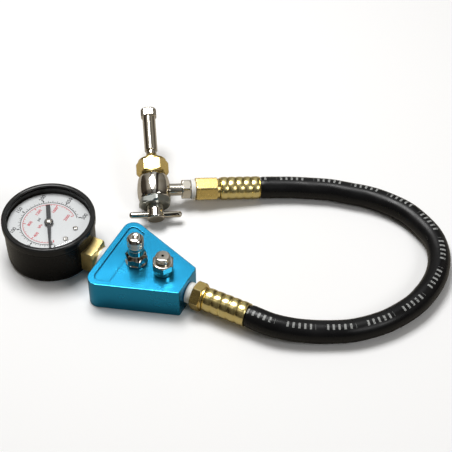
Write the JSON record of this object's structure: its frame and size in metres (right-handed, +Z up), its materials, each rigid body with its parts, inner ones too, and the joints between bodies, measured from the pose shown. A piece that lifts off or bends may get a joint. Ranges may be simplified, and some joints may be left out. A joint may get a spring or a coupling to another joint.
{
  "type": "shock charging gauge set",
  "caption": "Manifold block with a pressure gauge, a fill valve, a bleed button and a hose to a cross-handled chuck, for charging a suspension shock with gas.",
  "frame": {"origin": "centre of the manifold block's underside, on the surface that the set lies on", "axes": "+Z up out of the block's top face, +X towards the hose's loop, +Y from the manifold towards the chuck"},
  "size_m": [0.2506, 0.1568, 0.0385],
  "materials": {
    "blue_anodised": "satin anodised",
    "white_tape": "matt wound thread tape",
    "nickel": "bright nickel plate",
    "brass": "machined",
    "crimp_brass": "bright drawn",
    "hose_rubber": "semi-matt",
    "seal_rubber": "matt",
    "zinc": "zinc plated",
    "black_case": "semi-gloss black",
    "pointer_black": "matt black",
    "lens": "clear",
    "dial_face": "matt white print",
    "steel": "plain"
  },
  "bodies": {
    "gauge_set": {"manifold_block": "blue_anodised", "gauge_port_tape": "white_tape", "hose_port_tape": "white_tape", "fill_valve_body": "nickel", "fill_core_body": "brass", "bleed_valve_body": "nickel", "bleed_spring": "steel", "hose_nipple_manifold": "brass", "ferrule_manifold": "crimp_brass", "hose_tail_manifold": "hose_rubber", "hose": "hose_rubber", "hose_tail_chuck": "hose_rubber", "ferrule_chuck": "crimp_brass", "hose_nipple_chuck": "brass", "chuck_tape": "white_tape", "chuck_nipple": "nickel", "chuck_body": "nickel", "gland_nut": "zinc", "spindle_seal": "seal_rubber", "tube_nut": "brass", "gauge_case": "black_case", "gauge_bezel": "black_case", "gauge_lens": "lens", "gauge_dial": "dial_face", "dial_screw_1": "brass", "dial_screw_2": "brass", "dial_post_1": "brass", "dial_post_2": "brass", "stop_pin": "steel", "movement_base": "brass", "movement_roof": "brass", "bourdon_tube": "brass", "gauge_stem": "brass"},
    "fill_cap": {"fill_valve_cap": "nickel"},
    "fill_pin": {"fill_core_pin": "brass"},
    "bleed_plunger": {"bleed_button": "nickel"},
    "pointer": {"pointer": "pointer_black", "pointer_arbor": "brass"},
    "sector": {"sector_gear": "brass"},
    "link": {"movement_link": "brass"},
    "core_plunger": {"plunger": "steel"},
    "spindle": {"spindle": "nickel", "cross_bar": "nickel"},
    "swivel_tube": {"valve_tube": "nickel", "valve_tube_stem": "nickel", "mouth_gasket": "seal_rubber", "tube_seal": "seal_rubber"}
  },
  "joints": [
    {"name": "sector_swing", "type": "hinge", "parent": "gauge_set", "child": "sector", "pos_m": [-0.06828, 0.0346, 0.01875], "axis": [0, 0, 1], "range_deg": [0, 32.6], "stiffness_Nm_per_rad": 0.002, "springref_deg": -2.86},
    {"name": "pointer_turn", "type": "hinge", "parent": "gauge_set", "child": "pointer", "pos_m": [-0.05544, 0.02809, 0.0233], "axis": [0, 0, 1], "range_deg": [-261.5, 0]},
    {"name": "link_swing", "type": "hinge", "parent": "sector", "child": "link", "pos_m": [-0.0715, 0.03623, 0.01955], "axis": [0, 0, 1], "range_deg": [-33, 0]},
    {"name": "cap_lift", "type": "slide", "parent": "gauge_set", "child": "fill_cap", "axis": [0, 0, 1], "range_m": [0, 0.012]},
    {"name": "fill_pin_press", "type": "slide", "parent": "gauge_set", "child": "fill_pin", "axis": [0, 0, -1], "range_m": [0, 0.0012], "stiffness_N_per_m": 400, "springref_m": -0.001},
    {"name": "bleed_press", "type": "slide", "parent": "gauge_set", "child": "bleed_plunger", "axis": [0, 0, -1], "range_m": [0, 0.0012], "stiffness_N_per_m": 800, "springref_m": -0.001, "deforming": ["bleed_spring"]},
    {"name": "plunger_advance", "type": "slide", "parent": "gauge_set", "child": "core_plunger", "axis": [-0.0839, 0.9382, 0.3359], "range_m": [0, 0.00251]},
    {"name": "spindle_turn", "type": "hinge", "parent": "core_plunger", "child": "spindle", "pos_m": [0.00155, 0.06303, 0.01255], "axis": [-0.0839, 0.9382, 0.3359], "range_deg": [0, 720]},
    {"name": "tube_swivel", "type": "hinge", "parent": "gauge_set", "child": "swivel_tube", "pos_m": [0.00155, 0.06303, 0.01255], "axis": [-0.0839, 0.9382, 0.3359], "continuous": true}
  ],
  "couplings": [
    {"joint": "pointer_turn", "follows": "sector_swing", "ratio": -8},
    {"joint": "link_swing", "follows": "sector_swing", "ratio": -1},
    {"joint": "plunger_advance", "follows": "spindle_turn", "m_per_rad": 0.00019894}
  ]
}
